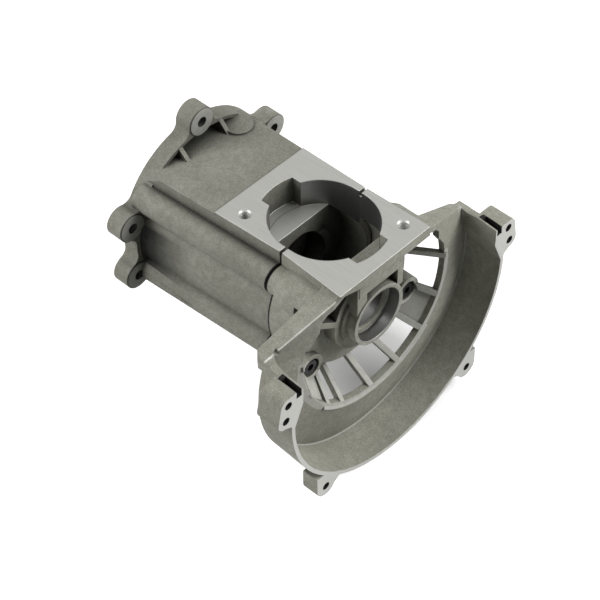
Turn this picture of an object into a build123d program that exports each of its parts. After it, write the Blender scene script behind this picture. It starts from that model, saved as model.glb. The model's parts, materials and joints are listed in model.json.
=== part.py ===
"""Two-piece die-cast crankcase of a small two-stroke engine.

X runs along the crankshaft, from the gearbox flange towards the fan, and Z points up
to the cylinder. The origin is the centre of the gearbox mounting face.
"""
import os
from math import atan2, cos, degrees, radians, sin, tan

from build123d import *

# Long rear casting
rear_length = 96.0            # mounting face to the joint between the castings
barrel_radius = 41.0          # outside of the round body
barrel_flare = 5.0            # drift of the left wall at the mounting flange
deck_height = 41.8            # crankshaft to the machined cylinder deck
cast_top_drop = 0.8           # as-cast top behind the deck lies this much lower
deck_rear = 43.7              # joint to the rear edge of the machined deck
deck_half_width = 31.2        # at the joint
deck_left_drift = 2.4         # left deck edge, out at the front corner

# Gearbox flange
flange_rise = 8.5             # flange above the cylinder deck
flange_thickness = 10.0
lug_thickness = 10.5
lug_rise = 4.2                # lug centres beyond the flange
lug_radius = 8.6
lug_angles = (90.0, 16.5, 163.5, 201.4, 338.6, 270.0)
lug_hole = 6.0
spot_inset = 0.7              # the machined spot face is this much smaller than its lug
lug_blend = 6.0
register_rim = 12.3           # flange left outside the register
register_depth = 4.0
clutch_radius = 36.5
shoulder_start = 22.0         # where the top edges begin to round into the flange
shoulder_rise = 6.2           # of the rounded corner beyond the flange

# Pockets and ribs in the top of the flange
pocket_half_width = 25.0
pocket_skin = 2.5
pocket_rim = 2.2
gusset_thickness = 2.4
gusset_offsets = (-15.5, 13.5)
gusset_length = 7.0
pad_radius = 8.0
pad_height = 1.2
pad_x = 15.0
pad_y = 21.5

# Screw ridges along the joint
ridge_radius = 8.2
upper_ridge = (34.2, 26.0)
lower_ridge = (36.8, -19.8)
right_ridge_inset = 1.2
screw_hole = 5.5
screw_core = 4.2              # minor size of the tapped hole
thread_depth = 24.0
counterbore = 11.4
boss_front = 25.5             # joint to the front of the screw bosses
screw_seat = 20.0             # joint to the seat of the screw heads
ridge_gap = 0.6               # groove round the ridge on each side of the joint
ridge_core = 6.4              # what is left of the ridge inside the groove
collar_radius = 11.4          # swelling of the ridge where it meets the wing
collar_start = 3.0
collar_run = 11.0
collar_end = 31.0
collar_drop = 3.0             # the front of the swelling is cut off this far above its axis

# Crank chamber, bearings and cylinder mouth
chamber_half = 17.5
rear_chamber_radius = 33.4
front_chamber_radius = 36.2
rear_wall_depth = 20.5
bearing_radius = 17.5
bearing_depth = 11.0
bearing_boss_radius = 21.5
bearing_boss_height = 2.0
shaft_hole_radius = 13.0
mouth_radius = 27.0
mouth_offset = 2.4            # each half of the mouth is centred off the joint
mouth_ledge = 25.0            # height of the machined ledge in the mouth
mouth_depth_height = 12.0     # how far down the mouth runs over the chamber
scallop_radius = 34.4
scallop_half_width = 11.4
scallop_wall = 3.0            # metal left round the front scallop
deck_gap = 0.9                # open gap at the joint, on each casting
groove_depth = 2.9            # of that gap, below the deck

# Cylinder stud holes
stud_x = 31.4
stud_y = 24.2
stud_hole = 5.0
stud_chamfer = 1.0
stud_depth = 16.0

# Hub for the front bearing and shaft seal
front_wall = 4.5
barrel_end = 18.0             # joint to the end of the round outside of the front casting
front_wall_radius = 37.5
hub_front = 37.8
hub_radius = 18.1
hub_step_radius = 21.0
hub_step_x = 31.8
hub_base_radius = 24.5
hub_base_x = 30.0
seal_radius = 15.8
seal_depth = 7.5
webs = ((-12.0, 7.0, 41.0), (16.4, 4.0, 27.5))   # place, thickness and front height
web_front = 37.0
web_neck = 24.0               # the webs reach the deck as far as here
brace = ((20.0, 0.5), (20.0, 4.5), (32.0, 13.0), (43.0, 20.5), (43.0, 16.5))   # Y and Z
brace_front = 30.0

# Fan bowl
rim_front = 53.4
bowl_drop = 7.7               # bowl centre below the crankshaft
crease_x = 31.3               # inside corner between the plate and the round wall
crease_radius = 75.3
rim_draft = 2.7               # how much wider the wall is inside at the rim
rim_wall = 2.3
rear_taper = 1.0              # how much smaller the wall is outside at its rear edge
rear_step = 1.5               # the outer wall starts this far behind the crease
plate_x = 36.5
plate_radius = 50.0
plate_thickness = 3.8
window_radius = 53.2          # about the crankshaft
ring_width = 4.3              # raised band round the windows
ring_rise = 0.9
band_sector = (-135.0, -45.0)  # degrees
deck_front = 42.0
deck_thickness = 6.3
deck_edge = 1.0               # full thickness of the deck's left edge, before it thickens inwards
deck_edge_reach = 3.0         # the slope below that edge is taken this far outside the joint's corner

# Upper edges of the bowl, from the deck out to the ends of the rim
wing_start = 5.0              # outside the deck edge
wing_fall = 3.8               # below the deck
wing_slope = 25.7             # degrees
wing_lip = 4.2                # thickness of the edge
wing_x = 40.4                 # front of the plate where the edge starts
wing_lean = 14.8              # degrees that the upper plate leans back
wing_neck = 30.0              # rear edge of the wings beside the deck
left_wing_end = ((22.7, 71.9), (25.4, 74.7))   # rear corner, in X and Y
right_wing_end = ((26.8, 66.0), (29.0, 71.0))
wing_corner = 3.0             # the wings end this far inside the wall
pillar = ((39.0, 33.0), (42.4, 29.2), (44.1, 27.0), (44.1, 22.3), (50.5, 13.0))

# Ribs from the barrel to the bowl
rib_thickness = 3.4
rib_angles = (1.5, -25.8, -48.0, -70.6, -93.0, -118.0, -132.0, -154.2, 178.5)
rib_root_x = 17.5             # joint to the front edge of the ribs, where they leave the barrel
rib_depth = 5.2               # along the crankshaft
rib_overlap = 3.0             # how far the ribs run on under the plate
arm_sectors = ((-48.0, -25.8), (-154.2, -132.0))
arm_thickness = 3.6

# Lugs on the fan rim
pair_lug_depth = 14.4
low_lug_depth = 10.0
rim_lug_hole = 4.6
pair_lug_turns = (13.6, 6.75)  # degrees above the bowl centre
pair_lug_rise = 4.4            # lug centres beyond the rim
pair_lug_radius = 5.4
slot_width = 3.6
slot_inset = 5.4               # slot centre inside the rim
slot_drops = (29.3, 15.8)       # its ends, below the deck
slot_depth = 10.4              # back from the rim
slot_wall = 1.0                # metal on the inner side of the slot
rim_top_drop = 24.8            # the ends of the round wall lie this far below the deck, at the rim
rim_top_slope = ((30.3, 19.8), (34.3, 23.0))   # places behind it, in X and below the deck
slot_block_corner = 6.25       # height at which its inner side starts to narrow
slot_block_low = -8.0          # height at which it ends
low_lug_turn = -50.0
low_lug_rise = 6.3
low_lug_radius = 6.6
low_lug_width = 10.0          # root of the lug along the rim

# Fasteners between the castings
screw_size = 5.0
screw_head_radius = 4.25
screw_head_height = 5.0
screw_reach = 18.0            # length of thread in the rear casting
thread_clearance = 0.05       # between the screw's core and the tapped hole
socket_size = 4.0
socket_depth = 2.5
sleeve_radius = 4.0
sleeve_length = 10.0
sleeve_clearance = 0.02

# Helpers for cutting
over = 1.0                    # how far a cutter runs past the face that it opens
far = 120.0                   # beyond every casting
upright = (Align.CENTER, Align.CENTER, Align.MIN)

joint_x = rear_length
fan_end = joint_x + rim_front
cast_top = deck_height - cast_top_drop
flange_radius = deck_height + flange_rise
lug_circle = flange_radius + lug_rise
shoulder_radius = flange_radius + shoulder_rise
register_radius = flange_radius - register_rim
rim_inner = crease_radius + rim_draft
rim_outer = rim_inner + rim_wall
wing_radius = rim_outer - rear_taper
slot_y = rim_outer - slot_inset
slot_z = [deck_height - drop for drop in slot_drops]
rim_top = deck_height - rim_top_drop
plate_back = plate_x - plate_thickness
groove_z = deck_height - groove_depth


def at_joint(offset):
    """X of a place that is measured from the joint, positive towards the fan."""
    return joint_x + offset


def x_cylinder(radius, x_start, x_end, y=0.0, z=0.0):
    """Round bar or hole along the crankshaft direction."""
    length = x_end - x_start
    return Pos(x_start, y, z) * Rot(0, 90, 0) * Cylinder(radius, length, align=upright)


def box_between(x, y, z):
    """Block from pairs of limits along X, Y and Z."""
    block = Box(x[1] - x[0], y[1] - y[0], z[1] - z[0])
    return Pos(sum(x) / 2, sum(y) / 2, sum(z) / 2) * block


def prism_x(points, x_start, x_end):
    """Outline in Y and Z, drawn out along the crankshaft."""
    outline = make_face(Polyline(*points, close=True))
    return extrude(Plane.YZ.offset(x_start) * outline, amount=x_end - x_start)


def prism_z(points, z_start, z_end):
    """Plan outline in X and Y, drawn out upwards."""
    outline = make_face(Polyline(*points, close=True))
    return extrude(Pos(0, 0, z_start) * outline, amount=z_end - z_start)


def turned(points, arc=360.0):
    """Profile of X and radius, turned about the crankshaft."""
    outline = make_face(Polyline(*points, close=True))
    return revolve(Plane.XZ * outline, axis=Axis.X, revolution_arc=arc)


def mirrored(shape):
    return shape.mirror(Plane.XZ)


def leaned(shape, pivot_y=0.0):
    """Turn a shape about the joint so that its flange end drifts out to the left."""
    lean = degrees(atan2(barrel_flare, rear_length))
    return Pos(joint_x, pivot_y, 0) * Rot(0, 0, lean) * shape


def rear_span():
    """Room between the flange and the joint, used to trim leaned shapes."""
    return box_between((flange_thickness / 2, joint_x), (-far, far), (-far, far))


def below_deck():
    """Everything up to the height of the cylinder deck."""
    return box_between((-far, fan_end + far), (-far, far), (-far, deck_height))


def flared_barrel():
    """Round body: straight right half, leaned left half and a flat wedge between."""
    left = x_cylinder(barrel_radius, -far, far) & box_between((-far, far), (-far, 0), (-far, far))
    right = x_cylinder(barrel_radius, 0, joint_x) & box_between((0, joint_x), (0, far), (-far, far))
    wedge = prism_z([(joint_x, 0), (0, -barrel_flare), (0, 0)], -barrel_radius, barrel_radius)
    return (right + wedge + leaned(left)) & rear_span()


def left_ridge(place):
    """Screw ridge on the left wall, leaned with it."""
    bar = x_cylinder(ridge_radius, -far, far, 0, place[1])
    return leaned(bar, -place[0]) & rear_span()


def right_place(place):
    return (place[0] - right_ridge_inset, place[1] - right_ridge_inset)


def screw_places():
    """Centres of the four screws, in Y and Z."""
    left = [(-y, z) for y, z in (upper_ridge, lower_ridge)]
    right = [right_place(upper_ridge), lower_ridge]
    return left + right


def rear_body():
    """Barrel, top block and screw ridges of the long casting."""
    body = flared_barrel() & below_deck()
    start = flange_thickness / 2
    left_rear = -deck_half_width - barrel_flare
    top = [(start, left_rear), (joint_x, -deck_half_width),
           (joint_x, deck_half_width), (start, deck_half_width)]
    block = prism_z(top, barrel_radius / 2, cast_top)
    shoulder = turned([(start, 0), (start, flange_radius), (shoulder_start, shoulder_radius),
                       (joint_x + over, shoulder_radius), (joint_x + over, 0)])
    body += block & shoulder
    drift_here = deck_half_width + barrel_flare * deck_rear / rear_length
    deck = [(joint_x - deck_rear, -drift_here), (joint_x, -deck_half_width),
            (joint_x, deck_half_width), (joint_x - deck_rear, deck_half_width)]
    body += prism_z(deck, barrel_radius / 2, deck_height)
    for place in (upper_ridge, lower_ridge):
        body += left_ridge(place)
    for y, z in (right_place(upper_ridge), lower_ridge):
        body += x_cylinder(ridge_radius, start, joint_x, y, z)
    return body


def lug_places():
    """Centres of the flange lugs, in Y and Z."""
    turns = [radians(angle) for angle in lug_angles]
    return [(lug_circle * cos(turn), lug_circle * sin(turn)) for turn in turns]


def flange_profile():
    """Round flange with its bolt lugs, blended where they meet."""
    profile = Sketch() + Circle(flange_radius)
    centres = [Vector(y, z) for y, z in lug_places()]
    for centre in centres:
        profile += Pos(centre.X, centre.Y) * Circle(lug_radius)
    corners = [v for v in profile.vertices()
               if any(abs((Vector(v) - c).length - lug_radius) < 0.01 for c in centres)
               and abs(Vector(v).length - flange_radius) < 0.01]
    return fillet(corners, lug_blend)


def rear_flange():
    """Gearbox flange with the machined spots on its lugs."""
    plate = extrude(Plane.YZ * flange_profile(), amount=flange_thickness)
    for y, z in lug_places():
        plate += x_cylinder(lug_radius - spot_inset, flange_thickness - over, lug_thickness, y, z)
    return plate


def top_pockets():
    """Crescent hollow between the flange rim and the flat top of the body."""
    crescent = x_cylinder(flange_radius - pocket_rim, pocket_skin, lug_thickness + over)
    window = box_between((0, lug_thickness + over), (-pocket_half_width, pocket_half_width),
                         (cast_top, flange_radius))
    boss = x_cylinder(lug_radius, 0, lug_thickness, 0, lug_circle)
    return (crescent & window) - boss


def flange_gussets():
    """Thin ribs that brace the top of the flange."""
    ribs = []
    for y in gusset_offsets:
        top = (flange_radius ** 2 - y ** 2) ** 0.5 - pocket_rim / 2
        side = [(pocket_skin / 2, cast_top - over), (pocket_skin / 2, top), (flange_thickness, top),
                (flange_thickness + gusset_length, cast_top - over)]
        outline = Plane.XZ * make_face(Polyline(*side, close=True))
        ribs.append(Pos(0, y + gusset_thickness / 2, 0) * extrude(outline, amount=gusset_thickness))
    return ribs


def rear_hollows():
    """Clutch space, rear bearing seat and crank chamber."""
    wall_rear = at_joint(-chamber_half - rear_wall_depth)
    hollow = x_cylinder(clutch_radius, -over, wall_rear)
    hollow += x_cylinder(register_radius, -over, register_depth)
    hollow += x_cylinder(rear_chamber_radius, at_joint(-chamber_half), joint_x + over)
    hollow += x_cylinder(shaft_hole_radius, wall_rear - over, joint_x)
    hollow += x_cylinder(bearing_radius, at_joint(-chamber_half - bearing_depth), joint_x)
    return hollow


def rear_bearing_boss():
    """Raised ring round the rear bearing, inside the chamber."""
    start = at_joint(-chamber_half - over)
    ring = x_cylinder(bearing_boss_radius, start, at_joint(-chamber_half + bearing_boss_height))
    return ring - x_cylinder(bearing_radius, start - over, joint_x)


def mouth(side):
    """Half of the cylinder mouth; side is -1 for the rear casting and 1 for the front."""
    centre = at_joint(side * mouth_offset)
    top = deck_height + over
    tall = top - mouth_ledge
    cut = Pos(centre, 0, mouth_ledge) * Cylinder(mouth_radius, tall, align=upright)
    scallop = Pos(joint_x, 0, mouth_ledge) * Cylinder(scallop_radius, tall, align=upright)
    span = sorted((joint_x, at_joint(side * (scallop_radius + over))))
    cut += scallop & box_between(span, (-scallop_half_width, scallop_half_width), (0, top))
    well = Pos(centre, 0, mouth_depth_height) * Cylinder(mouth_radius, top - mouth_depth_height,
                                                         align=upright)
    chamber = sorted((at_joint(-side * over), at_joint(side * chamber_half)))
    cut += well & box_between(chamber, (-mouth_radius, mouth_radius), (0, top))
    return cut


def stud_hole_cut(side):
    """Tapped hole in the deck for a cylinder screw, with its chamfer."""
    x, y = at_joint(side * stud_x), side * stud_y
    hole = Pos(x, y, deck_height - stud_depth) * Cylinder(stud_hole / 2, stud_depth + over,
                                                          align=upright)
    cone = Cone(stud_hole / 2, stud_hole / 2 + stud_chamfer, stud_chamfer, align=upright)
    return hole + Pos(x, y, deck_height - stud_chamfer) * cone


def rear_housing():
    """Long casting from the gearbox flange to the joint."""
    casting = rear_body() + rear_flange()
    casting -= top_pockets()
    for rib in flange_gussets():
        casting += rib
    pad = Cylinder(pad_radius, pad_height + over, align=upright)
    casting += Pos(pad_x, pad_y, cast_top - over) * pad
    casting -= rear_hollows()
    casting += rear_bearing_boss()
    casting -= mouth(-1)
    casting -= stud_hole_cut(-1)
    for y, z in lug_places():
        casting -= x_cylinder(lug_hole / 2, -over, lug_thickness + over, y, z)
    for y, z in screw_places():
        casting -= x_cylinder(screw_core / 2, at_joint(-thread_depth), joint_x + over, y, z)
    for y, z in sleeve_places():
        casting -= x_cylinder(sleeve_radius + sleeve_clearance, at_joint(-sleeve_length / 2),
                              joint_x + over, y, z)
    casting -= box_between((at_joint(-deck_gap), joint_x + over), (-far, far), (groove_z, far))
    for groove in ridge_grooves():
        casting -= groove
    return casting


def ridge_grooves():
    """Open gap round the outside of the upper ridges, at the joint."""
    y, z = upper_ridge
    inner = deck_half_width - ridge_gap
    slab = box_between((at_joint(-ridge_gap), at_joint(ridge_gap)), (inner, far),
                       (z - ridge_radius, far))
    grooves = []
    for gap, (centre_y, centre_z) in ((mirrored(slab), (-y, z)), (slab, right_place(upper_ridge))):
        core = x_cylinder(ridge_core, joint_x - over, joint_x + over, centre_y, centre_z)
        grooves.append(gap - core)
    return grooves


def sleeve_places():
    """The locating sleeves sit round two screws on a diagonal."""
    upper_left, _, _, lower_right = screw_places()
    return [upper_left, lower_right]


def front_body():
    """Barrel, deck and screw bosses of the fan-side casting."""
    wall_front = at_joint(chamber_half + front_wall)
    body = turned([(joint_x, 0), (joint_x, barrel_radius), (at_joint(barrel_end), barrel_radius),
                   (wall_front, front_wall_radius), (wall_front, 0)]) & below_deck()
    plan = [(joint_x, -deck_half_width), (at_joint(deck_front), -deck_half_width - deck_left_drift),
            (at_joint(deck_front), deck_half_width + deck_left_drift / 2), (joint_x, deck_half_width)]
    deck = prism_z(plan, deck_height - deck_thickness, deck_height)
    edge_y, under = -deck_half_width - deck_edge_reach, deck_height - deck_thickness
    taper = [(-deck_half_width / 2, under), (edge_y, deck_height - deck_edge), (edge_y, under)]
    body += deck - prism_x(taper, at_joint(collar_end), fan_end)
    block = prism_z(plan, barrel_radius / 2, deck_height)
    body += block & box_between((joint_x, wall_front), (-far, far), (0, far))
    for y, z in screw_places():
        body += x_cylinder(ridge_radius, joint_x, at_joint(boss_front), y, z)
    swelling = turned([(at_joint(x), r) for x, r in
                       ((collar_start, 0), (collar_start, ridge_radius - over),
                        (collar_start + collar_run, collar_radius), (collar_end, collar_radius),
                        (collar_end, 0))])
    swelling -= box_between((wall_front, fan_end), (-far, far), (-far, collar_drop))
    upper_left, _, upper_right, _ = screw_places()
    for place in (upper_left, upper_right):
        body += Pos(0, *place) * swelling
    pocket_front = at_joint(scallop_radius + scallop_wall)
    pocket_side = scallop_half_width + scallop_wall
    body += box_between((wall_front - over, pocket_front), (-pocket_side, pocket_side),
                        (mouth_ledge - scallop_wall, deck_height))
    return body


def hub():
    """Stepped boss for the front bearing and seal, braced to the deck."""
    start = at_joint(chamber_half)
    boss = x_cylinder(hub_base_radius, start, at_joint(hub_base_x))
    boss += x_cylinder(hub_step_radius, start, at_joint(hub_step_x))
    boss += x_cylinder(hub_radius, start, at_joint(hub_front))
    for y, thickness, top in webs:
        sides = (y - thickness / 2, y + thickness / 2)
        low = min(top, deck_height - deck_thickness / 2)
        boss += box_between((start, at_joint(web_front)), sides, (hub_radius / 2, low))
        boss += box_between((start, at_joint(web_neck)), sides,
                            (hub_radius / 2, deck_height - deck_thickness / 2))
    boss += prism_x([(-y, z) for y, z in brace], start, at_joint(brace_front))
    return boss


def wing_line(drop=0.0):
    """Upper edge of the bowl on the right side, in Y and Z."""
    y, z = deck_half_width + wing_start, deck_height - wing_fall
    slope = tan(radians(wing_slope))
    return [(deck_half_width / 2, z + slope * (y - deck_half_width / 2) - drop),
            (far, z + slope * (y - far) - drop)]


def below_wing():
    """Everything below the upper edge of the bowl on the right side."""
    return prism_x([(0, 0), (0, -far), (far, -far)] + wing_line()[::-1], joint_x, fan_end)


def inside_wall():
    """Everything inside the outer face of the round wall."""
    return bowl_cone([(0, 0), (0, wing_radius), (rim_front, wing_radius), (rim_front, 0)])


def bowl_cone(points):
    """Shape turned about the bowl's own centre, from places along X and radii."""
    return Pos(0, 0, -bowl_drop) * turned([(at_joint(x), r) for x, r in points])


def bowl():
    """Dished plate and round wall that carry the fan cover."""
    inner = window_radius - bowl_drop - over
    shell = bowl_cone([(plate_x, inner), (plate_x, plate_radius), (crease_x, crease_radius),
                       (rim_front, rim_inner), (rim_front, rim_outer),
                       (crease_x - rear_step, wing_radius),
                       (crease_x - plate_thickness, crease_radius - over),
                       (plate_back, plate_radius), (plate_back, inner)])
    above = prism_x(wing_line() + [(far, far), (deck_half_width / 2, far)], joint_x, fan_end + over)
    shell -= above
    shell -= mirrored(above)
    shell -= box_between((joint_x, fan_end + over), (-deck_half_width, deck_half_width), (0, far))
    return shell - x_cylinder(window_radius, joint_x, fan_end) + ring_band()


def ring_band():
    """Raised band round the lower part of the windows."""
    outer = window_radius + ring_width
    start, end = band_sector
    band = turned([(at_joint(x), r) for x, r in
                   ((plate_back, window_radius), (plate_x - ring_rise, window_radius),
                    (plate_x + ring_rise, outer - over), (plate_x, outer), (plate_back, outer))],
                  arc=end - start)
    return Rot(start - 90, 0, 0) * band


def wing(end):
    """Upper plate on the right side: a broad lip, a leaning plate and its pillar."""
    lean = tan(radians(wing_lean))
    y_start, z_low = deck_half_width + wing_start, pillar[-1][1]
    inner = deck_half_width / 2
    plan = [(at_joint(wing_neck), inner), (at_joint(wing_neck), deck_half_width)]
    plan += [(at_joint(x), y) for x, y in end]
    tip = wing_radius - wing_corner
    plan += [(at_joint(wing_x - lean * (tip - y_start)), tip),
             (at_joint(wing_x), y_start), (at_joint(wing_x), inner)]
    strip = prism_x(wing_line() + wing_line(wing_lip)[::-1], joint_x, fan_end)
    lip = strip & prism_z(plan, 0, deck_height)
    fall = (crease_radius - y_start) * lean
    front = [(at_joint(wing_x), y_start - over), (at_joint(wing_x), y_start),
             (at_joint(wing_x - fall), crease_radius), (at_joint(wing_x - fall - plate_thickness),
             crease_radius), (at_joint(wing_x - plate_thickness), y_start - over)]
    sheet = prism_z(front, z_low, deck_height)
    keep = prism_x(list(pillar) + [(far, z_low), (far, far), (pillar[0][0], far)], joint_x, fan_end)
    return (lip + (sheet & keep & below_wing())) & inside_wall()


def radial_rib(angle):
    """Rib from the barrel out to the ring round the windows."""
    rise = (window_radius - barrel_radius) / (plate_x - rib_root_x)
    start = rib_root_x - over
    side = [(start, barrel_radius - rise * over), (plate_x, window_radius), (plate_x, window_radius + over),
            (plate_back, window_radius + rib_overlap), (plate_x - rib_depth, window_radius),
            (start - rib_depth, barrel_radius - rise * over)]
    outline = Plane.XZ * make_face(Polyline(*[(at_joint(x), r) for x, r in side], close=True))
    rib = Pos(0, rib_thickness / 2, 0) * extrude(outline, amount=rib_thickness)
    return Rot(angle - 90, 0, 0) * rib


def arm_web(start, end):
    """Sloping wall between two ribs, which carries a lower screw boss."""
    heel = rib_root_x - rib_depth - over
    middle = plate_x - plate_thickness / 2
    side = [(heel, barrel_radius - over), (heel + arm_thickness, barrel_radius - over),
            (middle, window_radius + over), (plate_back + over / 2, window_radius + rib_overlap)]
    web = turned([(at_joint(x), r) for x, r in side], arc=end - start)
    return Rot(start - 90, 0, 0) * web


def around_bowl(turn, radius):
    """Place at an angle and a distance from the bowl's centre, in Y and Z."""
    return radius * cos(radians(turn)), radius * sin(radians(turn)) - bowl_drop


def rim_lugs():
    """Screw lugs on the outside of the fan rim, on the right side."""
    back = at_joint(rim_front - pair_lug_depth)
    holes = [around_bowl(turn, rim_outer + pair_lug_rise) for turn in pair_lug_turns]
    (y1, z1), (y2, z2) = holes
    pair = x_cylinder(pair_lug_radius, back, fan_end, y1, z1)
    pair += x_cylinder(pair_lug_radius, back, fan_end, y2, z2)
    outline = [(slot_y, z1 + pair_lug_radius), (y1, z1 + pair_lug_radius),
               (y1 + pair_lug_radius, z1), (y2 + pair_lug_radius, z2),
               (y2, z2 - pair_lug_radius), (slot_y, z2 - 2 * pair_lug_radius)]
    pair += prism_x(outline, back, fan_end)
    for y, z in holes:
        pair -= x_cylinder(rim_lug_hole / 2, back - over, fan_end + over, y, z)
    back = at_joint(rim_front - low_lug_depth)
    y, z = around_bowl(low_lug_turn, rim_outer + low_lug_rise)
    single = x_cylinder(low_lug_radius, back, fan_end, y, z)
    foot = [(y - low_lug_width, z), (y, z - low_lug_radius), (y + low_lug_radius, z),
            (y + low_lug_radius, z + low_lug_width), (y, z + low_lug_width)]
    single += prism_x(foot, back, fan_end)
    single -= x_cylinder(rim_lug_hole / 2, back - over, fan_end + over, y, z)
    return pair, single


def slot_block():
    """Thicker upper end of the round wall, which holds the slot."""
    inner = slot_y - slot_width / 2 - slot_wall
    outline = [(inner, slot_block_corner), (rim_inner, slot_block_low), (far, slot_block_low),
               (far, far), (inner, far)]
    block = prism_x(outline, at_joint(crease_x - over), fan_end)
    return block & inside_wall() & below_wing()


def rim_top_cut():
    """Cut that slopes the ends of the round wall down to their height."""
    side = [(at_joint(x), deck_height - drop) for x, drop in rim_top_slope]
    side += [(fan_end, rim_top), (fan_end + over, rim_top), (fan_end + over, far), (side[0][0], far)]
    outline = Plane.XZ * make_face(Polyline(*side, close=True))
    inner = slot_y - 2 * slot_width - slot_wall
    return Pos(0, far, 0) * extrude(outline, amount=far - inner)


def fan_housing():
    """Fan-side casting with the hub, the open bowl and its ribs."""
    casting = front_body() + hub() + bowl()
    casting += wing(right_wing_end)
    casting += mirrored(wing(left_wing_end))
    for angle in rib_angles:
        casting += radial_rib(angle)
    for start, end in arm_sectors:
        casting += arm_web(start, end)
    inside = bowl_cone([(plate_x, 0), (plate_x, plate_radius), (crease_x, crease_radius),
                        (rim_front, rim_inner), (rim_front, 0)])
    for lug in rim_lugs():
        casting += lug - inside
        casting += mirrored(lug - inside)
    block = slot_block()
    casting += block
    casting += mirrored(block)
    top = rim_top_cut()
    casting -= top
    casting -= mirrored(top)
    slot = box_between((at_joint(rim_front - slot_depth), fan_end + over),
                       (slot_y - slot_width / 2, slot_y + slot_width / 2), slot_z)
    casting -= slot
    casting -= mirrored(slot)
    casting -= x_cylinder(front_chamber_radius, joint_x - over, at_joint(chamber_half))
    casting -= x_cylinder(bearing_radius, joint_x, at_joint(chamber_half + bearing_depth))
    casting -= x_cylinder(shaft_hole_radius, joint_x, fan_end)
    casting -= x_cylinder(seal_radius, at_joint(hub_front - seal_depth), fan_end)
    casting -= mouth(1)
    casting -= stud_hole_cut(1)
    for y, z in screw_places():
        casting -= x_cylinder(screw_hole / 2, joint_x - over, fan_end, y, z)
        casting -= x_cylinder(counterbore / 2, at_joint(screw_seat), at_joint(plate_x), y, z)
    for y, z in sleeve_places():
        casting -= x_cylinder(sleeve_radius + sleeve_clearance, joint_x - over,
                              at_joint(sleeve_length / 2), y, z)
    casting -= box_between((joint_x - over, at_joint(deck_gap)), (-far, far), (groove_z, far))
    for groove in ridge_grooves():
        casting -= groove
    return casting


def case_screw():
    """Socket head screw, drawn at the origin with its seat at X = 0."""
    thread = x_cylinder(screw_core / 2 - thread_clearance, -screw_seat - screw_reach, over)
    screw = thread + x_cylinder(screw_size / 2, -screw_seat + sleeve_length / 2 + over, over)
    screw += x_cylinder(screw_head_radius, 0, screw_head_height)
    socket = extrude(Plane.YZ.offset(screw_head_height - socket_depth)
                     * RegularPolygon(socket_size / 2, 6, major_radius=False), amount=socket_depth + over)
    return screw - socket


def case_screws():
    shape = [Pos(at_joint(screw_seat), y, z) * case_screw() for y, z in screw_places()]
    return Compound(children=shape)


def locating_sleeves():
    sleeves = []
    for y, z in sleeve_places():
        tube = x_cylinder(sleeve_radius, at_joint(-sleeve_length / 2), at_joint(sleeve_length / 2), y, z)
        sleeves.append(tube - x_cylinder(screw_hole / 2, 0, fan_end, y, z))
    return Compound(children=sleeves)


os.makedirs("parts", exist_ok=True)
export_step(rear_housing(), "parts/rear_housing.step")
export_step(fan_housing(), "parts/fan_housing.step")
export_step(case_screws(), "parts/case_screws.step")
export_step(locating_sleeves(), "parts/locating_sleeves.step")
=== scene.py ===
"""Looks, lights and camera for the two-piece engine crankcase.

X runs along the crankshaft from the gearbox flange towards the fan, and Z points up to
the cylinder. Places in the materials are in millimetres, and everything else is in metres.
"""
import json
import math

import bpy
from mathutils import Matrix, Vector


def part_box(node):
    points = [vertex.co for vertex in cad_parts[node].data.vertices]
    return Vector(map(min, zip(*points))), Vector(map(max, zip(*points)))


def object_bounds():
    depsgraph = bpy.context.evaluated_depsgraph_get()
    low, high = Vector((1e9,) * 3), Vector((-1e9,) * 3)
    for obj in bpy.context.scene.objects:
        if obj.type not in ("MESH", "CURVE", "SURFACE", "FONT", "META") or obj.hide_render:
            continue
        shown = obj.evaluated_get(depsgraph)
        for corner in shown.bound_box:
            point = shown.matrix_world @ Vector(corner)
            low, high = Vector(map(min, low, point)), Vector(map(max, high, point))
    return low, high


MM = 0.001

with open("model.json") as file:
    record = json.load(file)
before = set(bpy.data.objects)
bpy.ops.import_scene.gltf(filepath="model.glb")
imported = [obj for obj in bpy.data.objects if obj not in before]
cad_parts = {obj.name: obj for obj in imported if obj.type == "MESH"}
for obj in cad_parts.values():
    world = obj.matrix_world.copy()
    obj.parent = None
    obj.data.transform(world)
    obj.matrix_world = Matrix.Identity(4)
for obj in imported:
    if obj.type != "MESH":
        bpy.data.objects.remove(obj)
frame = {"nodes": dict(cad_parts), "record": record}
nodes = frame["nodes"]
mounts = {mount["name"]: mount for mount in frame["record"]["mounts"]}
cad_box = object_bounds()

# Sizes and places from the frame
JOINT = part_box("rear_housing")[1].x / MM         # joint between the castings, along X
DECK = mounts["cylinder_deck"]["pos_m"][2] / MM  # crankshaft to the cylinder deck
RIM_FRONT = mounts["fan_rim"]["pos_m"][0] / MM
REGISTER_RADIUS = mounts["gearbox_register"]["dims"]["r_mm"]
SEAL_RADIUS = mounts["fan_end_seal_bore"]["dims"]["r_mm"]
gearbox_holes = [mount for name, mount in mounts.items() if name.startswith("gearbox_hole")]
cover_holes = [mount for name, mount in mounts.items() if name.startswith("cover_hole")]
deck_holes = {"rear": mounts["deck_hole_rear"], "fan": mounts["deck_hole_front"]}

# Machined places. A pair is the middle of a stretch and half its width.
CLUTCH_SPACE = 30.0              # the mounting face lies outside this radius
SPOT_FACE = 10.5                 # front of the flange lugs
LEDGE = 25.0                     # height of the flat ledge in the cylinder mouth
BEARING_RADIUS = 17.5
SEAL_START = 120.0               # the seal bore lies in front of this
MOUTH_RADIUS = 27.0
MOUTH_OFFSET = 2.4               # each half of the mouth is centred off the joint
MOUTH_LOW = 11.0
STUD_REACH = 3.6                 # stud hole with its chamfer
STUD_LOW = 25.0

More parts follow.
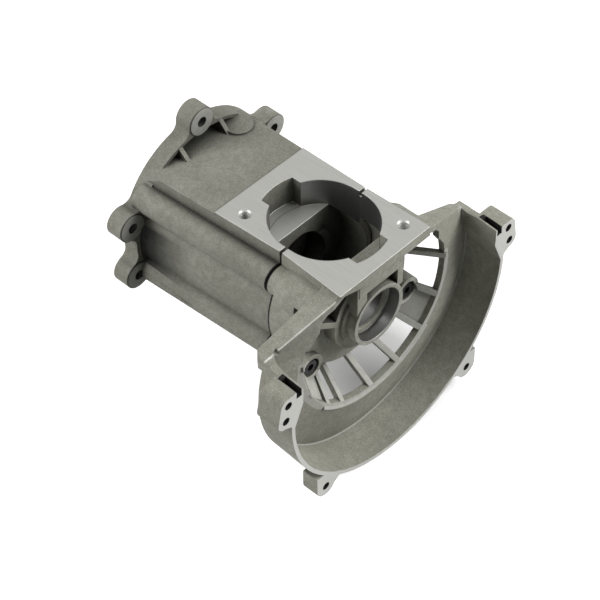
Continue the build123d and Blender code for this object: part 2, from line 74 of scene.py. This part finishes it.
# Fan bowl
BOWL_DROP = 7.7                  # its centre is this far below the crankshaft
WINDOW_BAND = (55.3, 2.3)        # raised band round the windows, from the crankshaft
WINDOW_BAND_X = (132.6, 1.6)
RIBS = (47.0, 6.1)               # ribs across the windows
RIBS_X = (123.0, 10.0)
LOW_SIDE = 5.0                   # the rubbed ribs and band lie below this
CREASE = (75.3, 0.5)             # corner between the plate and the round wall
CREASE_X = (127.4, 0.8)
SLOT_SIDE = (74.9, 1.85)         # slots behind the rim
SLOT_X = (143.0, 6.2)
SLOT_HEIGHT = (19.2, 6.8)
WING_FALL = 0.481                # how fast the upper edges of the bowl fall, outwards
WING_LEAN = 0.264                # how fast they run back, outwards
WING_TOP = (55.4, 0.5)           # those edges, followed inwards to the middle plane
WING_FRONT = (145.9, 0.6)
WING_START = -35.0               # the left one lies outside this

# Joint, and painted shade
SEAM_HALF = 0.5                  # half the thin line below the upper ridges
GAP_HALF = 1.1                   # half the gap over them
RIDGE_FOOT = 19.0                # the gap starts at this height
RIDGE_INSIDE = 31.5              # and outside this, where the deck ends
HOLLOW_SHADE = 0.90               # strength of the painted shade in hollows
CORNER_SHADE = 0.98               # and of the painted shadow behind the flange
CORNER_FADE = (17.0, 44.0)       # it fades out over this stretch along X
CORNER_LOW = (-34.0, -12.0)      # fades in over this height, upwards
CORNER_HIGH = (15.0, 11.0)       # and in over this one, downwards
CORNER_RADIUS = 48.0             # inside the lugs
CORNER_START = 8.0
CORNER_SIDE = -30.0

# How far a face may lie from its place and still count
FLAT_SLACK = 0.1
FINE_SLACK = 0.05
SEAL_SLACK = 0.15
THREAD_SLACK = 0.2
MOUTH_SLACK = 0.25
SQUARE_ON = 0.95                 # part of a normal that makes a face square to an axis

# Fine shapes that the materials add
THREAD_PITCH = 0.9
THREAD_BUMP = 0.25
SKIN_BUMP = 0.34
TOOL_BUMP = 0.04
BLACK_STEEL_BUMP = 0.03
GROUND_STEEL_BUMP = 0.02
EDGE_RADIUS = 0.7
AIR_REACH = 45.0                 # walls as near as this close a place in

# Noises: how many patches to a metre, how many finer layers, and how strong those are
STAINS = (28.0, 4.0, 0.6)
MOTTLE = (260.0, 4.0, 0.65)
GRAIN = (1500.0, 3.0, 0.7)
WORN_PATCHES = (150.0, 3.0, 0.6)
STEEL_PATCHES = (600.0, 3.0, 0.6)
TOOL_MARKS = (900.0, 2.0, 0.5, (0.06, 2.2, 2.2))     # drawn out along X
GRINDING = (1500.0, 2.0, 0.5, (0.1, 1.0, 1.0))
PAPER_CLOUDS = (3.0, 2.0, 0.5)
SPREAD = (0.3, 0.7)              # between these lies nearly all of a noise

# Gloss
CAST_ROUGHNESS = (0.55, 0.70)
MILLED_ROUGHNESS = (0.36, 0.44)
BORED_ROUGHNESS = 0.40
BLACK_STEEL_ROUGHNESS = (0.34, 0.52)
GROUND_STEEL_ROUGHNESS = (0.22, 0.36)
MILLED_METAL = 0.55              # share of the light that a milled face returns as metal does
BLACK_STEEL_METAL = 0.30
CAST_GLOSS = 0.22
MILLED_GLOSS = 0.5
BLACK_STEEL_GLOSS = 0.25

# Linear colours
CAST_GREYS = ((0.215, 0.214, 0.178), (0.305, 0.305, 0.262))
CAST_MOTTLE = (0.180, 0.180, 0.148)
CAST_LIGHT_GRAIN = (0.44, 0.44, 0.39)
CAST_DARK_GRAIN = (0.115, 0.115, 0.095)
# Light grey for worn edges and spot faces, and for painted highlights on the fan
WORN_AND_HIGHLIT = (0.56, 0.56, 0.52)
# Painted highlight on the front edge of the left wing
EDGE_HIGHLIGHT = (0.85, 0.85, 0.80)
MILLED = ((0.405, 0.405, 0.378), (0.455, 0.455, 0.428))
BORED = (0.30, 0.30, 0.29)
# Painted shade, for hollows and for the corner behind the flange
PAINTED_SHADE = (0.012, 0.012, 0.010)
# Near black, for the dark joint line, and as painted shade in the fan's holes and slots
JOINT_AND_SHADE_BLACK = (0.010, 0.010, 0.009)
BLACK_STEEL = ((0.008, 0.008, 0.009), (0.035, 0.034, 0.032))
GROUND_STEEL = ((0.38, 0.38, 0.39), (0.58, 0.58, 0.6))
PAPER = ((0.91, 0.91, 0.905), (0.94, 0.94, 0.935))
PAPER_FOR_LIGHT = (0.40, 0.40, 0.40)
WHITE = (1.0, 1.0, 1.0)


# Node helpers

class Graph:
    """A short way to add nodes to a material. Its x, y and z are in millimetres."""

    def __init__(self, name):
        self.material = bpy.data.materials.new(name)
        self.material.use_nodes = True
        self.tree = self.material.node_tree
        self.tree.nodes.clear()
        self.shader = self.node("BsdfPrincipled")
        self.link(self.shader.outputs[0], self.node("OutputMaterial").inputs[0])
        self.place = self.node("TexCoord").outputs["Object"]
        self.facing = self.node("NewGeometry").outputs["True Normal"]
        in_mm = self.node("VectorMath")
        in_mm.operation = "SCALE"
        in_mm.inputs["Scale"].default_value = 1.0 / MM
        self.link(self.place, in_mm.inputs[0])
        self.x, self.y, self.z = self.split(in_mm.outputs[0])
        self.nx, _, self.nz = self.split(self.facing)
        self.side = self.math("ABSOLUTE", self.y)

    def node(self, kind):
        return self.tree.nodes.new("ShaderNode" + kind)

    def link(self, source, socket):
        self.tree.links.new(source, socket)

    def put(self, value, socket):
        """Links another node's output, or sets a plain number or colour."""
        if isinstance(value, bpy.types.NodeSocket):
            self.link(value, socket)
        elif isinstance(value, tuple):
            socket.default_value = (*value, 1.0)
        else:
            socket.default_value = value

    def set(self, socket_name, value):
        """Puts a value on the shader."""
        self.put(value, self.shader.inputs[socket_name])

    def split(self, vector):
        node = self.node("SeparateXYZ")
        self.link(vector, node.inputs[0])
        return tuple(node.outputs)

    def math(self, operation, a, b=0.0, c=0.0):
        node = self.node("Math")
        node.operation = operation
        for value, socket in zip((a, b, c), node.inputs):
            self.put(value, socket)
        return node.outputs[0]

    def near(self, value, target, width):
        """1 where value is within width of target."""
        return self.math("COMPARE", value, target, width)

    def above(self, value, limit):
        return self.math("GREATER_THAN", value, limit)

    def below(self, value, limit):
        return self.math("LESS_THAN", value, limit)

    def both(self, *masks):
        """The product of the masks."""
        found = masks[0]
        for mask in masks[1:]:
            found = self.math("MULTIPLY", found, mask)
        return found

    def either(self, *masks):
        """The highest of the masks."""
        found = masks[0]
        for mask in masks[1:]:
            found = self.math("MAXIMUM", found, mask)
        return found

    def without(self, mask, taken):
        return self.math("MULTIPLY", mask, self.math("SUBTRACT", 1.0, taken))

    def radius(self, a, b, a0=0.0, b0=0.0):
        """Distance from an axis at a0, b0."""
        da, db = self.math("SUBTRACT", a, a0), self.math("SUBTRACT", b, b0)
        total = self.math("ADD", self.math("MULTIPLY", da, da), self.math("MULTIPLY", db, db))
        return self.math("SQRT", total)

    def from_hole(self, hole):
        """Distance from the axis of a mount's hole, which runs along X or Z."""
        x, y, z = (length / MM for length in hole["pos_m"])
        if hole["axis"][2]:
            return self.radius(self.x, self.y, x, y)
        return self.radius(self.y, self.z, y, z)

    def noise(self, scale, detail, roughness, stretch=None):
        node = self.node("TexNoise")
        node.inputs["Scale"].default_value = scale
        node.inputs["Detail"].default_value = detail
        node.inputs["Roughness"].default_value = roughness
        where = self.place
        if stretch:
            mapping = self.node("Mapping")
            mapping.inputs["Scale"].default_value = stretch
            self.link(where, mapping.inputs[0])
            where = mapping.outputs[0]
        self.link(where, node.inputs["Vector"])
        return node.outputs["Fac"]

    def ramp(self, value, low, high, out_low=0.0, out_high=1.0):
        """Runs from out_low at low to out_high at high, and stays there beyond them."""
        node = self.node("MapRange")
        for socket, number in zip(node.inputs, (value, low, high, out_low, out_high)):
            self.put(number, socket)
        return node.outputs[0]

    def blend(self, factor, a, b):
        """Mixes two colours."""
        node = self.node("Mix")
        node.data_type = "RGBA"
        for value, socket in zip((factor, a, b), (node.inputs[0], node.inputs[6], node.inputs[7])):
            self.put(value, socket)
        return node.outputs[2]

    def mix(self, factor, a, b):
        """Mixes two numbers."""
        node = self.node("Mix")
        for value, socket in zip((factor, a, b), (node.inputs[0], node.inputs[2], node.inputs[3])):
            self.put(value, socket)
        return node.outputs[0]

    def bevel(self, radius):
        """Normal that rounds sharp edges over a radius."""
        node = self.node("Bevel")
        node.samples = 6
        node.inputs["Radius"].default_value = radius
        return node.outputs[0]

    def straightness(self, normal):
        """1 where a normal is the face's own, and less where it turns away from it."""
        node = self.node("VectorMath")
        node.operation = "DOT_PRODUCT"
        self.link(normal, node.inputs[0])
        self.link(self.facing, node.inputs[1])
        return node.outputs["Value"]

    def open_air(self, reach):
        """1 on an open face, falling towards 0 deep in a hollow or a corner."""
        node = self.node("AmbientOcclusion")
        node.samples = 8
        node.inputs["Distance"].default_value = reach
        return node.outputs["AO"]

    def bump(self, height, distance, normal=None, strength=1.0):
        node = self.node("Bump")
        node.inputs["Distance"].default_value = distance
        self.put(strength, node.inputs["Strength"])
        self.link(height, node.inputs["Height"])
        if normal is not None:
            self.link(normal, node.inputs["Normal"])
        return node.outputs[0]


# Where the castings are milled, bored, worn or black at the joint, and where light and shade are painted
# on them

def deck(g, hole):
    """Cylinder deck, and the stud hole in it."""
    flat = g.both(g.near(g.z, DECK, FLAT_SLACK), g.above(g.nz, SQUARE_ON))
    stud = g.both(g.near(g.from_hole(hole), 0.0, STUD_REACH), g.above(g.z, STUD_LOW))
    return g.either(flat, stud)


def mouth_wall(g, centre):
    mouth = g.radius(g.x, g.y, centre)
    return g.both(g.near(mouth, MOUTH_RADIUS, MOUTH_SLACK), g.above(g.z, MOUTH_LOW))


def rear_milled(g):
    mounting_face = g.both(g.near(g.x, 0.0, FINE_SLACK), g.above(g.radius(g.y, g.z), CLUTCH_SPACE))
    joint_face = g.both(g.near(g.x, JOINT, FLAT_SLACK), g.above(g.nx, SQUARE_ON))
    ledge = g.both(g.near(g.z, LEDGE, FLAT_SLACK), g.above(g.nz, SQUARE_ON))
    return g.either(deck(g, deck_holes["rear"]), mounting_face, joint_face, ledge)


def rear_bored(g):
    from_axis = g.radius(g.y, g.z)
    bearing = g.near(from_axis, BEARING_RADIUS, FLAT_SLACK)
    register = g.near(from_axis, REGISTER_RADIUS, FLAT_SLACK)
    return g.either(bearing, register, mouth_wall(g, JOINT - MOUTH_OFFSET))


def rear_rubbed(g):
    """Spot faces on the flange lugs."""
    return g.both(g.near(g.x, SPOT_FACE, FINE_SLACK), g.above(g.nx, SQUARE_ON))


def flange_corner_shadow(g):
    """Painted shadow behind the flange, between the left lugs."""
    depth = g.ramp(g.x, *CORNER_FADE, CORNER_SHADE, 0.0)
    height = g.both(g.ramp(g.z, *CORNER_LOW), g.ramp(g.z, *CORNER_HIGH))
    inside = g.below(g.radius(g.y, g.z), CORNER_RADIUS)
    return g.both(depth, height, inside, g.above(g.x, CORNER_START), g.below(g.y, CORNER_SIDE))


def fan_milled(g):
    rim = g.both(g.near(g.x, RIM_FRONT, FLAT_SLACK), g.above(g.nx, SQUARE_ON))
    return g.either(deck(g, deck_holes["fan"]), rim)


def fan_bored(g):
    from_axis = g.radius(g.y, g.z)
    seal = g.both(g.near(from_axis, SEAL_RADIUS, SEAL_SLACK), g.above(g.x, SEAL_START))
    bearing = g.near(from_axis, BEARING_RADIUS, FLAT_SLACK)
    return g.either(seal, bearing, mouth_wall(g, JOINT + MOUTH_OFFSET))


def fan_highlights(g):
    """Painted highlights on the lower fronts of the ribs and of the band round the windows, and a painted
    highlight line in the bowl's inside corner.
    """
    from_axis = g.radius(g.y, g.z)
    from_bowl = g.radius(g.y, g.z, 0.0, -BOWL_DROP)
    low_front = g.both(g.above(g.nx, 0.5), g.below(g.z, LOW_SIDE))
    band = g.both(g.near(from_axis, *WINDOW_BAND), g.near(g.x, *WINDOW_BAND_X), low_front)
    ribs = g.both(g.near(from_axis, *RIBS), g.near(g.x, *RIBS_X), low_front)
    crease = g.both(g.near(from_bowl, *CREASE), g.near(g.x, *CREASE_X))
    return g.either(band, ribs, crease)


def wing_edge_highlight(g):
    """Painted highlight along the front corner of the left upper edge of the bowl."""
    edge_z = g.math("SUBTRACT", g.z, g.math("MULTIPLY", g.y, WING_FALL))
    edge_x = g.math("SUBTRACT", g.x, g.math("MULTIPLY", g.y, WING_LEAN))
    return g.both(g.near(edge_z, *WING_TOP), g.near(edge_x, *WING_FRONT), g.below(g.y, WING_START))


def fan_hole_shade(g):
    """Painted shade: near black inside the cover's screw holes, and in the slots behind the rim."""
    holes = [g.near(g.from_hole(hole), 0.0, hole["dims"]["r_mm"] + FINE_SLACK) for hole in cover_holes]
    slots = g.both(g.near(g.side, *SLOT_SIDE), g.near(g.z, *SLOT_HEIGHT), g.near(g.x, *SLOT_X))
    return g.either(slots, *holes)


def joint_line(g):
    """Thin line below the upper ridges, and the wider gap that runs over them."""
    across = g.below(g.math("ABSOLUTE", g.nx), 0.5)
    line = g.both(g.near(g.x, JOINT, SEAM_HALF), g.below(g.z, RIDGE_FOOT))
    gap = g.both(g.near(g.x, JOINT, GAP_HALF), g.above(g.z, RIDGE_FOOT), g.above(g.side, RIDGE_INSIDE))
    return g.both(g.either(line, gap), across)


def threads(g, holes):
    """Mask of the walls of tapped holes, and the distance along their axes."""
    inside, along = 0.0, g.x
    for hole in holes:
        wall = g.near(g.from_hole(hole), hole["dims"]["r_mm"], THREAD_SLACK)
        inside = g.math("MAXIMUM", inside, wall)
        if hole["axis"][2]:
            along = g.mix(wall, along, g.z)
    return inside, along


# Materials

def cast_paint(g, tone, mottle, grain):
    """Speckled die-cast grey, made lighter or darker by the tone."""

    def toned(colour):
        return tuple(part * tone for part in colour)

    paint = g.blend(g.ramp(g.noise(*STAINS), 0.35, 0.68), toned(CAST_GREYS[0]), toned(CAST_GREYS[1]))
    paint = g.blend(g.ramp(mottle, 0.38, 0.62, 0.0, 0.55), paint, toned(CAST_MOTTLE))
    paint = g.blend(g.ramp(grain, 0.52, 0.72, 0.0, 0.55), paint, toned(CAST_LIGHT_GRAIN))
    return g.blend(g.ramp(grain, 0.46, 0.30, 0.0, 0.45), paint, toned(CAST_DARK_GRAIN))


def wear(g, rounded, worn_and_highlit, mottle):
    """Patchy wear along the edges, and an even lighter colour on the places given: worn spot faces on the
    rear casting, and painted highlights on the fan.
    """
    edges = g.ramp(g.straightness(rounded), 0.99, 0.86)
    edges = g.math("MULTIPLY", edges, g.ramp(g.noise(*WORN_PATCHES), 0.42, 0.62, 0.15, 0.75))
    return g.either(edges, g.math("MULTIPLY", worn_and_highlit, g.ramp(mottle, *SPREAD, 0.85, 0.60)))


def cast_alloy(name, tone, hollow, milled_where, bored_where, worn_and_highlit_where, tapped,
               highlight_where=None, shadowed_where=None, hole_shade_where=None):
    """Grey die-cast aluminium, machined, worn and black at the joint where the given functions say, with
    painted highlights and painted shade.

    Painted shade is darkest where a place has no more open air than the first number of hollow,
    and ends at the second. The tapped holes get threads.
    """
    g = Graph(name)
    milled, bored, worn_and_highlit = milled_where(g), bored_where(g), worn_and_highlit_where(g)
    mottle, grain, tool_marks = g.noise(*MOTTLE), g.noise(*GRAIN), g.noise(*TOOL_MARKS)
    rounded = g.bevel(EDGE_RADIUS * MM)

    paint = cast_paint(g, tone, mottle, grain)
    # Worn edges and spot faces, and painted highlights on the fan, in a lighter grey
    paint = g.blend(wear(g, rounded, worn_and_highlit, mottle), paint, WORN_AND_HIGHLIT)
    # Painted highlight where the given function says
    if highlight_where:
        paint = g.blend(g.math("MULTIPLY", highlight_where(g), g.ramp(mottle, *SPREAD, 1.0, 0.5)), paint, EDGE_HIGHLIGHT)
    paint = g.blend(milled, paint, g.blend(g.ramp(tool_marks, *SPREAD), *MILLED))
    paint = g.blend(bored, paint, BORED)
    # Painted shade: the colour darkens towards black in hollows, and where the given function says
    shade_amount = g.ramp(g.open_air(AIR_REACH * MM), *hollow, HOLLOW_SHADE, 0.0)
    if shadowed_where:
        shade_amount = g.either(shade_amount, shadowed_where(g))
    paint = g.blend(g.without(shade_amount, milled), paint, PAINTED_SHADE)
    # Near black along the joint, and painted shade in the fan's holes and slots
    black = joint_line(g)
    if hole_shade_where:
        black = g.either(black, hole_shade_where(g))
    g.set("Base Color", g.blend(black, paint, JOINT_AND_SHADE_BLACK))

    g.set("Metallic", g.without(g.mix(bored, g.math("MULTIPLY", milled, MILLED_METAL), 1.0), black))
    rough = g.mix(milled, g.ramp(mottle, *SPREAD, *CAST_ROUGHNESS),
                  g.ramp(tool_marks, *SPREAD, *MILLED_ROUGHNESS))
    g.set("Roughness", g.mix(bored, rough, BORED_ROUGHNESS))
    g.set("Specular IOR Level", g.mix(milled, CAST_GLOSS, MILLED_GLOSS))

    lumps = g.math("ADD", g.math("MULTIPLY", grain, 0.45), g.math("MULTIPLY", mottle, 0.55))
    machined = g.either(milled, bored)
    normal = g.bump(lumps, SKIN_BUMP * MM, rounded, g.mix(machined, 1.0, 0.05))
    normal = g.bump(tool_marks, TOOL_BUMP * MM, normal, machined)
    inside, along = threads(g, tapped)
    turns = g.math("SINE", g.math("MULTIPLY", along, 2.0 * math.pi / THREAD_PITCH))
    g.set("Normal", g.bump(turns, THREAD_BUMP * MM, normal, inside))
    return g.material


def black_steel():
    g = Graph("black_steel")
    patches = g.noise(*STEEL_PATCHES)
    g.set("Base Color", g.blend(g.ramp(patches, 0.5, 0.7), *BLACK_STEEL))
    g.set("Metallic", BLACK_STEEL_METAL)
    g.set("Specular IOR Level", BLACK_STEEL_GLOSS)
    g.set("Roughness", g.ramp(patches, *SPREAD, *BLACK_STEEL_ROUGHNESS))
    g.set("Normal", g.bump(patches, BLACK_STEEL_BUMP * MM))
    return g.material


def ground_steel():
    g = Graph("ground_steel")
    lines = g.noise(*GRINDING)
    g.set("Base Color", g.blend(lines, *GROUND_STEEL))
    g.set("Metallic", 1.0)
    g.set("Roughness", g.ramp(lines, *SPREAD, *GROUND_STEEL_ROUGHNESS))
    g.set("Normal", g.bump(lines, GROUND_STEEL_BUMP * MM))
    return g.material


def dress(name, material):
    data = nodes[name].data
    data.materials.clear()
    data.materials.append(material)


dress("rear_housing",
      cast_alloy("cast_alloy_rear", tone=1.04, hollow=(0.35, 0.88), milled_where=rear_milled,
                 bored_where=rear_bored, worn_and_highlit_where=rear_rubbed, shadowed_where=flange_corner_shadow,
                 tapped=[*gearbox_holes, deck_holes["rear"]]))
# The fan casting's higher tone is painted light: it lightens its bowl where the lamps leave it darker
dress("fan_housing",
      cast_alloy("cast_alloy_fan", tone=1.28, hollow=(0.18, 0.52), milled_where=fan_milled,
                 bored_where=fan_bored, worn_and_highlit_where=fan_highlights, highlight_where=wing_edge_highlight,
                 hole_shade_where=fan_hole_shade, tapped=[*cover_holes, deck_holes["fan"]]))
dress("case_screws", black_steel())
dress("locating_sleeves", ground_steel())


# Floor, light and camera

FLOOR_HALF = 6.0
FLOOR_GAP = 0.5 * MM              # keeps the floor off the object's lowest point
SHADE_CENTRE = (100.0, 25.0)      # the floor glows least round this place, under the windows; the glow outside it is painted light that lifts the object's shadow towards white
SHADE_REACH = (30.0, 60.0)
SHADE_GLOW = (0.03, 0.62)         # what the floor adds to its own light, there and outside
LAMP_WIDTH = 0.8
LAMP_REACH = 1.25
LAMP_AIM = Vector((0.08, 0.0, 0.0))
WORLD_LIGHT = (0.015, 0.015, 0.015)
FOCAL_PIXELS = 2055.36            # focal length in pixels of the photograph
PHOTO_WIDTH = 600.0               # in pixels
SENSOR = 36.0
CAMERA_PLACE = Vector((0.5912, -0.5354, 0.7607))
CAMERA_TURNS = (43.74, 46.83, -0.56)   # azimuth, elevation and roll in degrees


def seen_ray(tree):
    """1 for the rays that show the background: the camera's, and those through gloss and glass."""
    path = tree.nodes.new("ShaderNodeLightPath")
    seen = path.outputs["Is Camera Ray"]
    for ray in ("Is Glossy Ray", "Is Transmission Ray"):
        either = tree.nodes.new("ShaderNodeMath")
        either.operation = "MAXIMUM"
        tree.links.new(seen, either.inputs[0])
        tree.links.new(path.outputs[ray], either.inputs[1])
        seen = either.outputs[0]
    return seen


def pale_floor(height):
    """White floor that keeps the object's shadow under the windows, glows as painted light that pales it
    elsewhere, and throws little light back at it.
    """
    corners = [(x * FLOOR_HALF, y * FLOOR_HALF, height) for x, y in ((-1, -1), (1, -1), (1, 1), (-1, 1))]
    mesh = bpy.data.meshes.new("floor")
    mesh.from_pydata(corners, [], [(0, 1, 2, 3)])
    floor = bpy.data.objects.new("floor", mesh)
    bpy.context.scene.collection.objects.link(floor)
    g = Graph("floor_paint")
    seen = seen_ray(g.tree)
    g.set("Base Color", g.blend(seen, PAPER_FOR_LIGHT, g.blend(g.noise(*PAPER_CLOUDS), *PAPER)))
    g.set("Emission Color", WHITE)
    glow = g.ramp(g.radius(g.x, g.y, *SHADE_CENTRE), *SHADE_REACH, *SHADE_GLOW)
    g.set("Emission Strength", g.math("MULTIPLY", seen, glow))
    g.set("Roughness", 0.9)
    g.set("Specular IOR Level", 0.1)
    mesh.materials.append(g.material)


def world_light():
    """White for the rays that show the background, and a faint fill for the object."""
    world = bpy.data.worlds.new("studio")
    bpy.context.scene.world = world
    world.use_nodes = True
    tree = world.node_tree
    mix = tree.nodes.new("ShaderNodeMix")
    mix.data_type = "RGBA"
    tree.links.new(seen_ray(tree), mix.inputs[0])
    mix.inputs[6].default_value = (*WORLD_LIGHT, 1.0)
    mix.inputs[7].default_value = (*WHITE, 1.0)
    tree.links.new(mix.outputs[2], tree.nodes["Background"].inputs["Color"])
    tree.nodes["Background"].inputs["Strength"].default_value = 1.0


def direction(azimuth, elevation):
    """Unit vector, from degrees."""
    turn, rise = math.radians(azimuth), math.radians(elevation)
    return Vector((math.cos(turn) * math.cos(rise), math.sin(turn) * math.cos(rise), math.sin(rise)))


def soft_box(name, azimuth, elevation, watts):
    """Square lamp that faces the middle of the object."""
    towards = direction(azimuth, elevation)
    data = bpy.data.lights.new(name, "AREA")
    data.size = LAMP_WIDTH
    data.energy = watts
    lamp = bpy.data.objects.new(name, data)
    bpy.context.scene.collection.objects.link(lamp)
    lamp.location = LAMP_AIM + LAMP_REACH * towards
    lamp.rotation_euler = towards.to_track_quat("Z", "Y").to_euler()


def photo_camera():
    """Camera fitted to the photograph. Its azimuth counts from the left side, round to the fan."""
    azimuth, elevation, roll = CAMERA_TURNS
    back = direction(azimuth - 90.0, elevation)
    level = direction(azimuth, 0.0)
    right = level * math.cos(math.radians(roll)) + back.cross(level) * math.sin(math.radians(roll))
    data = bpy.data.cameras.new("camera")
    data.sensor_width = SENSOR
    data.lens = FOCAL_PIXELS * SENSOR / PHOTO_WIDTH
    data.clip_start, data.clip_end = 0.01, 50.0
    camera = bpy.data.objects.new("camera", data)
    bpy.context.scene.collection.objects.link(camera)
    turn = Matrix((right, back.cross(right), back)).transposed().to_4x4()
    camera.matrix_world = Matrix.Translation(CAMERA_PLACE) @ turn
    bpy.context.scene.camera = camera


pale_floor(cad_box[0].z - FLOOR_GAP)
world_light()
soft_box("right_box", 43.0, 37.0, 15.5)
soft_box("left_box", 237.0, 37.0, 13.0)
bpy.context.scene.view_settings.view_transform = "Standard"
photo_camera()
